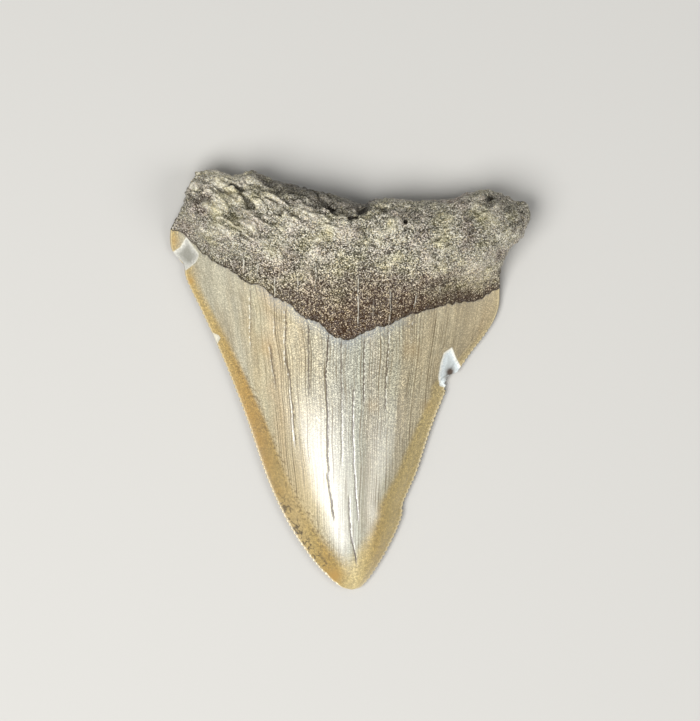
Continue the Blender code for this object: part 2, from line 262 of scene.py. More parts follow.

# Growth cracks of the inner face, from the enamel line down: points, strength and how bright the painted
# highlight on its lit edge is, negative where that edge is the left one.
CRACKS = [
    ([(-17.01, 16.15), (-17.01, 4.98)], 0.45, -1.0),
    ([(-12.85, 10.4), (-12.8, 6.7)], 0.4, -0.8),
    ([(-13.74, 6.01), (-13.23, 2.4), (-12.71, -1.37)], 0.7, -0.6),
    ([(-11.0, 12.0), (-11.1, 3.26), (-10.45, 1.55), (-9.9, -4.47), (-9.57, -9.28),
      (-9.42, -11.34)], 0.8, -1.0),
    ([(-7.15, 9.6), (-7.08, 2.4), (-7.04, -3.09)], 0.85, -0.3),
    ([(-3.68, 7.9), (-4.19, 0.69), (-3.85, -6.01), (-3.85, -13.23), (-3.6, -15.29), (-3.95, -16.49),
      (-3.52, -18.38), (-3.09, -21.99), (-2.65, -24.39)], 1.0, 0.3),
    ([(-1.55, 6.53), (-1.49, -3.44), (-1.44, -14.26)], 0.7, 0.2),
    ([(0.52, -1.55), (0.41, -7.04), (0.64, -14.77), (1.08, -20.96), (1.41, -24.39)], 0.9, 0.8),
    ([(2.39, 6.87), (2.28, -4.47)], 0.85, 0.7),
    ([(6.66, 11.51), (6.44, 4.98), (6.12, 0.17), (5.93, -5.5)], 0.75, 0.8),
    ([(10.48, 9.96), (10.24, 6.01)], 0.2, 0.8),
    ([(-0.19, -20.27), (-0.12, -24.05), (0.21, -27.14), (0.98, -30.75), (1.2, -31.95)], 1.0, 0.7),
]
# Cracks of the root, which show as pale vertical lines.
ROOT_CRACKS = [
    ([(-18.33, 21.47), (-18.33, 18.55)], 0.6, -1.0),
    ([(-12.88, 17.35), (-12.88, 14.26)], 0.6, -1.0),
    ([(-5.84, 19.75), (-5.94, 15.8)], 0.6, -1.0),
    ([(1.37, 17.52), (1.37, 8.93)], 0.4, -1.0),
    ([(6.87, 15.29), (6.65, 9.1)], 0.9, -0.8),
    ([(11.23, 14.94), (10.94, 12.54)], 0.5, -1.0),
    ([(-8.9, 17.6), (-9.0, 15.0)], 0.4, -0.7),
    ([(4.0, 13.6), (3.9, 10.6)], 0.5, -0.5),
    ([(15.2, 16.4), (15.1, 14.4)], 0.3, -0.7),
    ([(-15.9, 19.6), (-16.0, 17.6)], 0.3, -0.7),
]
# Growth cracks of the outer face.
OUTER_CRACKS = [
    ([(-12.5, 15.0), (-11.4, 2.0), (-9.2, -12.0)], 0.8, 0.5),
    ([(-5.6, 17.0), (-5.2, 4.0), (-4.0, -10.0)], 0.6, 0.4),
    ([(0.9, 18.5), (0.6, 6.0), (1.0, -8.0), (1.1, -22.0)], 1.0, 0.6),
    ([(7.6, 16.0), (6.9, 5.0), (5.8, -6.0)], 0.7, 0.5),
    ([(13.4, 13.5), (12.6, 6.0)], 0.5, 0.7),
]
CRACK_WIDTH = 0.13
CRACK_DEPTH = 0.1
CRACK_REACH = (0.35, 0.6)

# The tan band along the cutting edges: how wide it is up the crown, and how far its inner side is blurred.
BAND_Y = [-36.0, -30.0, -23.0, -17.0, -8.0, 1.0, 8.0, 20.0]
BAND_WIDTH = [4.8, 4.6, 4.2, 3.5, 2.8, 2.3, 0.9, 0.2]
WIDER_ON_THE_LEFT = [0, 0, 0, 0.3, 0.8, 0.8, 1.6, 1.0]
BAND_BLUR = [2.8, 2.2, 1.5, 1.1, 0.8, 1.2, 2.0, 2.0]
# Orange stains of the enamel: (x, y, radius, strength).
ENAMEL_STAINS = [
    (-27.6, 17.0, 0.7, 0.9), (-19.2, -2.2, 1.2, 0.5), (-17.4, -6.5, 1.5, 0.5), (-16.2, -10.4, 1.5, 0.5),
    (-14.7, -14.4, 1.3, 0.4), (-12.4, -19.2, 1.0, 0.3), (-2.7, -33.7, 1.2, 1.0), (-14.4, 5.4, 1.5, 0.3),
    (-30.3, 24.0, 0.9, 0.4), (13.4, -4.6, 1.2, 0.2), (3.9, -4.5, 1.2, 0.18), (10.5, 5.0, 1.6, 0.2),
]
# Paler and darker places of the root: (x, y, radius, strength). Most are its own tone; the pale ones on the
# upper left rim are painted light, and the dark ones in the notch and over its pits and hollows are painted
# shade.
ROOT_PALE_AND_LIT = [
    (-22.9, 30.0, 1.8, 0.7), (-22.5, 34.6, 3.5, 0.7), (-15.9, 30.0, 0.9, 0.9), (-14.6, 28.8, 0.5, 0.9),
    (-12.0, 26.5, 5.5, 0.45), (-4.0, 27.0, 4.0, 0.5), (6.0, 24.0, 4.5, 0.25), (12.0, 20.0, 3.5, 0.3),
    (-6.0, 20.6, 3.5, 0.4), (22.6, 17.4, 3.2, 0.6), (9.5, 28.0, 0.5, 0.9), (24.5, 28.5, 2.0, 0.15),
    (-24.0, 33.5, 2.0, 0.6), (-19.5, 35.0, 1.8, 0.6),
]
ROOT_DARK_AND_SHADED = [
    (24.05, 31.0, 0.9, 0.8), (20.6, 25.8, 2.4, 0.5), (2.8, 30.2, 1.8, 0.9), (0.8, 29.1, 1.5, 0.5),
    (-4.4, 31.0, 1.8, 0.5), (-9.0, 32.4, 2.2, 0.5), (18.0, 14.5, 2.5, 0.1), (-20.6, 27.7, 1.4, 0.35),
    (13.5, 25.5, 2.2, 0.25), (2.0, 20.4, 3.2, 0.5), (-26.2, 29.7, 2.8, 0.3),
    (28.0, 28.5, 2.5, 0.3), (-18.5, 21.5, 2.6, 0.25),
]

# Lumps of the worn root: (spacing, height). The first two leave the outline where it was measured.
ROOT_LUMPS = [(9.0, 0.75), (4.2, 0.42), (2.2, 0.26), (1.15, 0.2), (0.65, 0.14)]
OUTLINE_LUMPS = 2
# The root's relief runs along the lobes, as this line does, at every height: (x, y).
FLOW_LINE = [(-31.0, 16.8), (-20.0, 10.2), (-8.0, 3.3), (4.0, 0.0), (16.0, 3.0), (24.0, 8.0), (31.0, 13.5)]
# Crags along it: rounded bosses with sharp gaps between them, each with its height, length and width.
CRAGS = [(1.2, 4.8, 2.2), (0.8, 2.6, 1.1)]
# Steps of the left lobe: they climb gently to the upper right and drop steeply there, one after another.
STEP_SPACING = 2.3
STEP_HEIGHT = 0.75
# Their edges wander by this share of the spacing, over these lengths in x, y and z.
STEP_DRIFT, STEP_DRIFT_SPACING = 0.9, (7, 4, 4)
# How much farther apart the steps are up the tooth than straight across the slanted flow line.
FLOW_SLANT = 1.17
# The relief is bent by noise: its spacing, and its share in the ledges and in the flow line.
BEND_SPACING, LEDGE_BEND, FLOW_BEND = 2.4, 0.3, 2
# Worn places go no deeper than this share of the thickness.
DEEPEST_SHARE = 0.6
# Ledges and slits of the root's inner face: (start, end, width, depth).
ROOT_LEDGES = [
    ((-20.5, 33.5), (-18.4, 32.3), 0.5, 0.8), ((-18.9, 32.0), (-17.0, 30.0), 0.5, 0.6),
    ((-14.3, 31.2), (-12.2, 30.0), 0.45, 0.55), ((-11.3, 32.7), (-9.8, 32.2), 0.5, 0.5),
    ((-7.8, 33.0), (-5.5, 31.3), 0.5, 0.7), ((-5.5, 31.3), (-3.0, 29.2), 0.5, 0.6),
    ((-3.0, 29.2), (0.2, 28.2), 0.7, 0.6), ((-0.1, 27.6), (1.2, 27.8), 0.5, 0.9),
    ((1.5, 28.5), (3.3, 29.8), 0.45, 1.0), ((4.4, 29.4), (6.2, 29.2), 0.5, 0.6),
    ((0.5, 23.4), (4.4, 22.7), 0.45, 0.5), ((-7.8, 23.7), (-4.7, 23.3), 0.45, 0.35),
    ((-22.0, 32.5), (-19.3, 30.8), 0.8, 0.4), ((-21.5, 28.3), (-19.6, 27.0), 0.7, 0.3),
    ((-10.0, 29.6), (-7.4, 28.1), 0.6, 0.35), ((-16.2, 27.2), (-14.4, 26.2), 0.5, 0.3),
    ((14.6, 24.2), (16.8, 23.2), 0.5, 0.3), ((16.6, 22.2), (18.6, 22.9), 0.5, 0.3),
]
# Small pits: (x, y, radius, depth).
ROOT_PITS = [
    (-11.9, 28.7, 0.55, 0.6), (9.45, 27.05, 0.45, 0.9), (24.05, 31.0, 1.0, 0.8), (20.6, 25.6, 1.5, 0.35),
    (-24.9, 25.1, 0.5, 0.3),
]
LATTICE = 24


def lattice_noise(points, spacing, seed):
    """Gradient noise of about -1 to 1: random slopes at a cubic lattice's corners, blended between them."""
    slopes = np.random.default_rng(seed).normal(0, 1, (LATTICE, LATTICE, LATTICE, 3))
    place = points / spacing
    cell = np.floor(place).astype(int)
    inside = place - cell
    blend = inside**3 * (inside * (6 * inside - 15) + 10)
    total = np.zeros(len(points))
    for corner in np.ndindex(2, 2, 2):
        share = np.prod(np.where(corner, blend, 1 - blend), axis=1)
        i, j, k = ((cell + corner) % LATTICE).T
        total += share * np.sum(slopes[i, j, k] * (inside - corner), axis=1)
    return total


def inside_polygon(x, y, corners):
    """Distance from each point to the nearest side of a polygon, positive inside it."""
    nearest = np.full(x.shape, np.inf)
    within = np.zeros(x.shape, bool)
    for (ax, ay), (bx, by) in zip(corners, corners[1:] + corners[:1]):
        nearest = np.minimum(nearest, segment_distance(x, y, (ax, ay), (bx, by)))
        rise = by - ay if by != ay else 1.0
        within ^= ((ay > y) != (by > y)) & (x < ax + (y - ay) * (bx - ax) / rise)
    return np.where(within, nearest, -nearest)


def segment_distance(x, y, start, end):
    """Distance from each point to a straight line between two points."""
    ex, ey = end[0] - start[0], end[1] - start[1]
    t = np.clip(((x - start[0]) * ex + (y - start[1]) * ey) / (ex * ex + ey * ey), 0, 1)
    return np.hypot(x - start[0] - t * ex, y - start[1] - t * ey)


def scar_shape(x, y):
    """Distance inside the nearest flake scar, negative outside them all."""
    return np.maximum.reduce([inside_polygon(x, y, corners) for corners in (RIGHT_SCAR, LEFT_SCAR, NICK)])


def ledges(x, y, right=0.0, up=0.0):
    """How far the root's ledges go down at each point, with the ledges moved to the right and up."""
    depth = np.zeros(x.shape)
    for start, end, width, deep in ROOT_LEDGES:
        depth += deep * (1 - ease(0, width, segment_distance(x - right, y - up, start, end)))
    return depth


def pits(x, y):
    """How far the root's pits go down at each point."""
    depth = np.zeros(x.shape)
    for pit_x, pit_y, radius, deep in ROOT_PITS:
        depth += deep * (1 - ease(0.2, 1, np.hypot(x - pit_x, y - pit_y) / radius))
    return depth


def spots(x, y, places):
    """Bell-shaped spots, each of its own radius and strength; where they overlap, the stronger counts."""
    bells = [deep * np.exp(-((x - sx) ** 2 + (y - sy) ** 2) / r**2) for sx, sy, r, deep in places]
    return np.max(bells, axis=0)


def crack_marks(x, y, cracks):
    """The crack nearest each point: how far to its right the point lies, and its strength and whiteness.

    A crack's sideways place is read from its points, and it fades out over its last millimetres. Its strength
    and its edge's whiteness are zero out of its reach, and so where another crack becomes the nearest.
    """
    nearest, dark, white = np.full(x.shape, 2.0), np.zeros(x.shape), np.zeros(x.shape)
    for seed, (points, strength, edge) in enumerate(cracks):
        line_x, line_y = np.array(points[::-1]).T
        wander = 0.04 * np.sin(1.3 * y + 7 * seed) + 0.025 * np.sin(3.3 * y + 3 * seed)
        across = x - np.interp(y, line_y, line_x) - wander
        long = ease(line_y[0] - 0.6, line_y[0] + 1.5, y) * (1 - ease(line_y[-1] - 0.5, line_y[-1] + 0.5, y))
        long = long * (1 - ease(*CRACK_REACH, np.abs(across)))
        closer = (np.abs(across) < np.abs(nearest)) & (long > 0)
        nearest = np.where(closer, across, nearest)
        dark, white = np.where(closer, strength * long, dark), np.where(closer, edge * long, white)
    return nearest, dark, white


# THE TOOTH'S MESH
# Two sheets, the inner and the outer face, which share the outline. Beside the outline the rows are four
# times finer, so that each serration is round. The outer face's middle has half the rows and columns.

MIDDLE_COLUMNS = 256
STRIP_COLUMNS = 6
STRIP_WIDTH = 0.05
CROWN_ROWS = 112
ROOT_ROWS = 109
FINER = 4


def sheet_points():
    """The (u, v) of one sheet's points: left strip, middle and right strip, each row after row."""
    eased = np.linspace(0, 1, ROOT_ROWS + 1)[1:]
    rows = np.concatenate([
        np.linspace(0, 1, CROWN_ROWS + 1)[1:],
        1 + np.sin(eased * 0.4 * np.pi) / np.sin(0.4 * np.pi),
    ])
    every = np.arange(len(rows))
    fine_rows = np.interp(np.arange((len(rows) - 1) * FINER + 1) / FINER, every, rows)
    left = np.linspace(-1, -1 + STRIP_WIDTH, STRIP_COLUMNS + 1)
    middle = np.linspace(-1 + STRIP_WIDTH, 1 - STRIP_WIDTH, MIDDLE_COLUMNS + 1)[1:-1]
    return [np.meshgrid(left, fine_rows), np.meshgrid(middle, rows), np.meshgrid(-left[::-1], fine_rows)]


def sheet_faces(left, middle, right, finer, between=None):
    """One sheet's faces, as rows of point numbers: quads, a fan, and wide ones between strip and middle.

    The strips have so many times finer rows. Between holds the upper edge's points that lie between the
    middle's own columns. Point 0 is the tip, which closes the fan.
    """
    def quads(ids):
        return np.stack([ids[:-1, :-1], ids[:-1, 1:], ids[1:, 1:], ids[1:, :-1]], axis=-1).reshape(-1, 4)

    def border(fine):
        return [fine[k : len(fine) - finer + k : finer] for k in range(finer + 1)]

    steps = border(left[:, -1])
    left_seam = np.stack([steps[0], middle[:-1, 0], middle[1:, 0], *steps[:0:-1]], axis=-1)
    steps = border(right[:, 0])
    right_seam = np.stack([middle[:-1, -1], *steps, middle[1:, -1]], axis=-1)
    ring = np.concatenate([left[0], middle[0], right[0]])
    fan = np.stack([np.zeros(len(ring) - 1, int), ring[1:], ring[:-1]], axis=-1)
    faces = [quads(left), quads(middle), quads(right), left_seam, right_seam, fan]
    if between is not None:
        below, top = middle[-2], middle[-1]
        faces[1] = quads(middle[:-1])
        faces.append(np.stack([below[:-1], below[1:], top[1:], between, top[:-1]], axis=-1))
    return faces


def tooth_points():
    """u, v and face of every point of both sheets, and all faces, with the outline's points shared."""
    numbers, us, vs, count = [], [[0.0]], [[0.0]], 1
    for block_u, block_v in sheet_points():
        numbers.append(count + np.arange(block_u.size).reshape(block_u.shape))
        us.append(block_u.ravel())
        vs.append(block_v.ravel())
        count += block_u.size
    u, v = np.concatenate(us), np.concatenate(vs)
    outline = (np.abs(u) > 1 - 1e-9) | (v > 2 - 1e-9) | (np.arange(count) == 0)
    twin = np.where(outline, np.arange(count), np.arange(count) + count)
    left, middle, right = numbers
    faces = sheet_faces(left, middle, right, FINER)
    under = [twin[left], twin[middle[::2, ::2]], twin[right], 2 * FINER, middle[-1, 1::2]]
    faces += [rows[:, ::-1] for rows in sheet_faces(*under)]
    kept = np.unique(np.concatenate([rows.ravel() for rows in faces]))
    renumber = np.zeros(2 * count, int)
    renumber[kept] = np.arange(len(kept))
    face = np.where(kept >= count, -1.0, np.where(outline[kept % count], 0.0, 1.0))
    return u[kept % count], v[kept % count], face, [renumber[rows] for rows in faces]


def serrate(u, v, x, y, half_chord):
    """How far the edges go out and in as rounded teeth: a sine's size along the edge's real length."""
    left_length, right_length = walked_length(LEFT_CUTTING_EDGE)[-1], walked_length(RIGHT_CUTTING_EDGE)[-1]
    walked = v * np.where(u < 0, left_length, right_length)
    drift = 0.25 * np.sin(walked * 0.9) + 0.2 * np.sin(walked * 2.3 + 1)
    tooth = np.abs(np.sin(np.pi * walked / SERRATION_PITCH + drift)) - 0.6
    size = 0.75 + 0.25 * np.sin(walked * 1.7 + 2) * np.sin(walked * 0.61)
    worn = ease(0.02, 0.06, v) * (1 - ease(0.85, 0.9, v)) * (1 - ease(-1, 0.2, scar_shape(x, y)))
    near = 1 - ease(0, 0.75, (1 - np.abs(u)) * half_chord)
    return np.sign(u) * SERRATION_DEPTH * tooth * size * worn * near


def root_crags(places, flat_places, bend_x, over_flow):
    """Heights of the crags, a noise's size stretched along the lobes, and of the left lobe's steps.

    A step climbs evenly and drops over the last fifth of its spacing. The steps come in patches of 5 mm.
    """
    x, z = places[:, 0], places[:, 2]
    slanted = np.stack([x + FLOW_BEND * bend_x, over_flow, z], axis=1)
    crags = np.zeros(len(x))
    for seed, (high, length, width) in enumerate(CRAGS):
        crags += high * (np.abs(lattice_noise(slanted / (length, width, width), 1.0, 31 + seed)) - 0.3)
    climb = over_flow / FLOW_SLANT / STEP_SPACING
    climb += STEP_DRIFT * lattice_noise(places / STEP_DRIFT_SPACING, 1.0, 41)
    climb -= np.floor(climb)
    stepped = STEP_HEIGHT * (climb * (1 - ease(0.82, 1, climb)) - 0.4)
    stepped *= ease(-0.25, 0.35, lattice_noise(flat_places, 5.0, 42)) * (1 - ease(-6, 2, x))
    return crags + stepped


def build_tooth():
    """The tooth's mesh in metres, with the numbers that its materials read kept as point attributes."""
    u, v, face, faces = tooth_points()
    x, y, half_chord, below_top = plan(u, v, face)
    seam, inner, outer = face_heights(u, v, face)
    up, down = face > 0.5, face < -0.5
    z = np.where(up, inner, np.where(down, outer, seam))
    from_edge = (1 - np.abs(u)) * half_chord
    above_line = over_enamel_line(x, y, np.where(face == 0, 1, face))

    x = x + serrate(u, v, x, y, half_chord)
    cracked = np.array(crack_marks(x, y, CRACKS + ROOT_CRACKS))
    cracked = np.where(down, crack_marks(x, y, OUTER_CRACKS), cracked)
    opened = CRACK_DEPTH * cracked[1] * np.exp(-((cracked[0] / CRACK_WIDTH) ** 2))
    # Cracks, scars, ledges and pits are cut straight down into the two faces.
    flat_places = np.stack([x, y, z], axis=1)
    bend_x, bend_y = (0.5 * lattice_noise(flat_places, BEND_SPACING, seed) for seed in (21, 22))
    bent_x, bent_y = x + LEDGE_BEND * bend_x, y + LEDGE_BEND * bend_y
    gap = (ledges(bent_x, bent_y) + pits(bent_x, bent_y)) * up * ease(-0.2, 0.5, above_line)
    # The ledges moved right and up mark their crests, which are painted paler where the light falls: painted
    # light.
    lit_crest = ledges(bent_x, bent_y, 0.4, 0.6) * up
    scar = SCAR_DEPTH * ease(0, 0.5, scar_shape(x, y)) * up
    z -= np.minimum(gap + scar + opened, DEEPEST_SHARE * (inner - outer)) * up
    z += opened * down

    # Lumps and crags push the root's surface out along its normals, and less sideways at the outline.
    mesh = bpy.data.meshes.new("tooth")
    mesh.from_pydata(np.stack([x, y, z], axis=1), [], [row for rows in faces for row in rows.tolist()])
    normals = np.empty(3 * len(x))
    mesh.vertices.foreach_get("normal", normals)
    normals = normals.reshape(-1, 3)
    places = np.stack([x, y, z], axis=1)
    rough = ease(-0.5, 3.5, above_line)
    fine = ease(0, 0.8, above_line)
    lumps = [high * lattice_noise(places, spacing, seed) for seed, (spacing, high) in enumerate(ROOT_LUMPS)]
    over_flow = y + FLOW_BEND * bend_y - smooth_through(FLOW_LINE, x)
    off_outline = ease(0, 2.5, np.minimum(from_edge, below_top))
    crags = root_crags(places, flat_places, bend_x, over_flow)
    crags *= ease(2, 9, above_line) * (1 - 0.6 * ease(-10, 6, x)) * (0.4 + 0.6 * off_outline)
    sideways = np.stack([off_outline, off_outline, np.ones_like(off_outline)], axis=1)
    broad = sum(lumps[:OUTLINE_LUMPS]) * rough
    close = sum(lumps[OUTLINE_LUMPS:]) * (0.35 * fine + 0.65 * rough) + crags
    places += normals * sideways * broad[:, None] + normals * close[:, None]
    places[:, 2] = np.maximum(places[:, 2], 0)

    # The finished form is stretched by a little, so that it fills the CAD box.
    low, high = np.array(cad_box[0]), np.array(cad_box[1])
    small, large = places.min(axis=0) * MM, places.max(axis=0) * MM
    places = low + (places * MM - small) * (high - low) / (large - small)
    mesh.vertices.foreach_set("co", places.ravel())

    # The tan band is measured from both edges at once, blended so that it is round at the tip.
    both_sides = np.maximum([(1 + u) * half_chord, (1 - u) * half_chord], 1e-6)
    rounded = np.sum(both_sides**-3.0, axis=0) ** (-1 / 3)
    band_width, band_blur = np.array([np.interp(y, BAND_Y, values) for values in (BAND_WIDTH, BAND_BLUR)])
    band_width += np.interp(y, BAND_Y, WIDER_ON_THE_LEFT) * (u < 0)
    marks = {
        "relief": close,
        "gap": gap,
        "over_flow": over_flow,
        "band": (rounded - band_width) / band_blur,
        "stain": spots(x, y, ENAMEL_STAINS),
        # The pale mark: the root's own paler and darker tone, with painted light on the upper left rim and on
        # the ledges' lit crests, and painted shade in the notch and over its pits and hollows.
        "pale": spots(x, y, ROOT_PALE_AND_LIT) - spots(x, y, ROOT_DARK_AND_SHADED) + 0.5 * lit_crest,
        "below_top": below_top,
        "from_edge": from_edge,
        "above_line": above_line,
        "crack_across": cracked[0],
        "crack": cracked[1],
        "crack_edge": cracked[2],
        "scar": np.where(down, -5.0, scar_shape(x, y)),
        "hole": spots(x, y, SCAR_HOLE_SHADE) * up,
    }
    for name, values in marks.items():
        mesh.attributes.new(name, "FLOAT", "POINT").data.foreach_set("value", values.astype(np.float32))
    polygon_v = np.concatenate([v[rows].mean(axis=1) for rows in faces])
    mesh.polygons.foreach_set("material_index", (polygon_v > 1).astype(np.int32))
    mesh.shade_smooth()
    mesh.update()
    return mesh


# FOSSIL ENAMEL
# Enamel mineralised to fluorapatite and polished by sand: grey-cream over the dentine, tan and glassy at
# the edges where there is none behind it, with fine upright growth lines.

SMOOTH = {"interpolation_type": "SMOOTHSTEP"}
COLOURS = {"data_type": "RGBA"}


def linear(code):
    """An sRGB hex colour as linear red, green, blue and alpha."""
    parts = [int(code[i : i + 2], 16) / 255 for i in (1, 3, 5)]
    return tuple(c / 12.92 if c <= 0.04045 else ((c + 0.055) / 1.055) ** 2.4 for c in parts) + (1.0,)


def add_node(tree, kind, settings=None, *values, **inputs):
    """Adds a shader node and returns its outputs. Its settings are a dictionary or its operation's name.

    The values go to its sockets in order: a Map Range node takes what it follows, the two ends of its range
    and the results there. Other inputs are named by their socket, with _ for a space or before its number.
    A colour is given as its hex code.
    """
    node = tree.nodes.new("ShaderNode" + kind)
    if isinstance(settings, str):
        settings = {"operation": settings}
    for name, value in (settings or {}).items():
        if name == "stops":
            ramp = node.color_ramp
            ramp.elements[0].position, ramp.elements[0].color = value[0][0], linear(value[0][1])
            ramp.elements[1].position, ramp.elements[1].color = value[-1][0], linear(value[-1][1])
            for place, code in value[1:-1]:
                ramp.elements.new(place).color = linear(code)
        else:
            setattr(node, name, value)
    sockets = dict(enumerate(values))
    for name, value in inputs.items():
        sockets[int(name[1:]) if name[1:].isdigit() else name.replace("_", " ")] = value
    for key, value in sockets.items():
        if isinstance(value, str):
            value = linear(value)
        if isinstance(value, bpy.types.NodeSocket):
            tree.links.new(value, node.inputs[key])
        else:
            node.inputs[key].default_value = value
    return node.outputs


def start_material(name, mark_names):
    """A new material, what adds nodes to it, and its marks: the mesh's numbers and the place in mm."""
    material = bpy.data.materials.new(name)
    material.use_nodes = True
    add = functools.partial(add_node, material.node_tree)
    mark = {key: add("Attribute", {"attribute_name": key})["Fac"] for key in mark_names}
    coordinates = add("TexCoord")["Object"]
    mark["place"] = add("VectorMath", "SCALE", coordinates, Scale=1 / MM)[0]
    mark["x"], mark["y"], mark["z"] = add("SeparateXYZ", None, mark["place"])
    return material, add, mark


def enamel_patterns(add, mark):
    """Adds the patterns that several layers of the enamel share to its marks.

    Growth fans out from the tip, so the place across it is x times a scale that falls with y. Streaks are
    0.6 mm by 20 mm, the sparkle is 0.35 mm, the speckle 0.5 mm, and each crystal of 0.13 mm has a chance
    of its own.
    """
    place = mark["place"]
    fan = add("Math", "MULTIPLY_ADD", mark["y"], -0.007, 1.056)[0]
    centred = add("Math", "SUBTRACT", mark["x"], 1.4)[0]
    mark["across"] = add("Math", "MULTIPLY", centred, fan)[0]
    mark["off_centre"] = add("Math", "ABSOLUTE", mark["across"])[0]
    mark["grown"] = add("CombineXYZ", None, mark["across"], mark["y"], mark["z"])[0]
    long_streaks = add("VectorMath", "MULTIPLY", mark["grown"], (1.7, 0.045, 0.4))[0]
    mark["streaks"] = add("TexNoise", None, long_streaks, Scale=1.0, Detail=2.0, Roughness=0.6)["Fac"]
    mark["sparkle"] = add("TexNoise", None, place, Scale=2.9, Detail=1.0, Roughness=0.7)["Fac"]
    mark["speckle"] = add("TexNoise", None, place, Scale=1.9, Detail=2.0, Roughness=0.7)["Fac"]
    crystals = add("TexVoronoi", None, place, Scale=7.5)
    mark["chance"] = add("SeparateColor", None, crystals["Color"])[0]


def enamel_ground(add, mark):
    """The crown's own colour: bands moved by clouds of 6 mm, and golden streaks 2 to 3 mm wide."""
    across, off_centre, y = mark["across"], mark["off_centre"], mark["y"]
    clouds = add("TexNoise", None, mark["place"], Scale=0.16, Detail=3.0)["Fac"]
    shifted = add("Math", "MULTIPLY_ADD", clouds, 6.0, across)[0]
    share = add("MapRange", None, shifted, -17.0, 21.0)[0]
    colour = add("ValToRGB", {"stops": [
        (0.0, "#bdb69d"), (0.07, "#c1b796"), (0.13, "#c2b08c"), (0.22, "#c3b694"), (0.31, "#bfb79b"),
        (0.42, "#b3b09e"), (0.53, "#a8a896"), (0.6, "#b0a994"), (0.68, "#aaa68f"), (0.81, "#b0a587"),
        (1.0, "#ad9e7d"),
    ]}, share)[0]
    wide_streaks = add("VectorMath", "MULTIPLY", mark["grown"], (0.4, 0.05, 0.1))[0]
    golden = add("TexNoise", None, wide_streaks, Scale=1.0, Detail=3.0)["Fac"]
    golden = add("MapRange", None, golden, 0.45, 0.7, 0.0, 0.45)[0]
    on_sides = add("MapRange", SMOOTH, off_centre, 4.0, 11.0, 0.2, 0.9)[0]
    golden = add("Math", "MULTIPLY", golden, on_sides)[0]
    # Low on the left it turns to warm cream.
    low = add("MapRange", SMOOTH, y, -22.0, -6.0, 0.55, 0.0)[0]
    warm = add("MapRange", SMOOTH, across, -10.0, -3.0, 1.0, 0.0)[0]
    warm = add("Math", "MULTIPLY", warm, low)[0]
    for factor, other in ((golden, "#a98e60"), (warm, "#ccb988")):
        colour = add("Mix", COLOURS, factor, _6=colour, _7=other)[2]

    # Most crystals are a little dark and a few are bright as painted sparkle, less so at the sides and low on
    # the crown.
    crystal = add("Math", "POWER", mark["chance"], 2.2)[0]
    crystal = add("Math", "MULTIPLY_ADD", crystal, 1.2, -0.375)[0]
    sugary = add("MapRange", SMOOTH, off_centre, 6.0, 15.0, 1.3, 0.65)[0]
    upper = add("MapRange", SMOOTH, y, -20.0, -4.0, 0.35, 1.0)[0]
    sugary = add("Math", "MULTIPLY", sugary, upper)[0]
    mark["sugared"] = add("Math", "MULTIPLY_ADD", crystal, sugary, 1.0)[0]
    # The streaks change its lightness by about a tenth. It is paler towards the tip, and the right shoulder
    # is darker below and paler above.
    lightness = add("MapRange", None, mark["streaks"], 0.3, 0.7, 0.79, 1.07)[0]
    paler = add("MapRange", SMOOTH, y, -24.0, 2.0, 1.09, 0.94)[0]
    on_right = add("MapRange", SMOOTH, across, 12.0, 17.0)[0]
    up_shoulder = add("MapRange", SMOOTH, y, 5.0, 12.5, -0.11, 0.1)[0]
    shoulder = add("Math", "MULTIPLY_ADD", on_right, up_shoulder, 1.0)[0]
    for factor in (paler, shoulder, mark["sugared"]):
        lightness = add("Math", "MULTIPLY", lightness, factor)[0]
    mark["lightness"] = lightness
    return add("VectorMath", "SCALE", colour, Scale=lightness)[0]


def growth_lines(add, mark):
    """Hair-thin growth lines, drawn 0.14 mm wide: the borders of one-dimensional cells.

    The cells are 1.3 and 0.5 mm wide. The lines drift sideways by up to 0.2 mm, and come and go.
    """
    patchy_place = add("VectorMath", "MULTIPLY", mark["grown"], (0.9, 0.16, 0.1))[0]
    patchy = add("TexNoise", None, patchy_place, Scale=1.0, Detail=3.0)["Fac"]
    drift = add("TexNoise", None, mark["place"], Scale=0.12, Detail=0.0)["Fac"]
    drifted = add("Math", "MULTIPLY_ADD", drift, 1.2, mark["across"])[0]
    lined = add("MapRange", SMOOTH, mark["off_centre"], 13.0, 20.0, 1.0, 0.2)[0]
    cells = {"voronoi_dimensions": "1D", "feature": "DISTANCE_TO_EDGE"}
    lines = []
    for per_mm, wide, strongest in ((0.75, 0.085, 1.0), (2.0, 0.24, 0.75)):
        border = add("TexVoronoi", cells, W=drifted, Scale=per_mm)["Distance"]
        line = add("MapRange", SMOOTH, border, 0.2 * wide, wide, 1.0, 0.0)[0]
        present = add("MapRange", None, patchy, 0.38, 0.62, 0.15 * strongest, strongest)[0]
        for where in (present, lined):
            line = add("Math", "MULTIPLY", line, where)[0]
        lines.append((line, "#655533"))
    mark["hair_line"] = lines[0][0]
    return lines


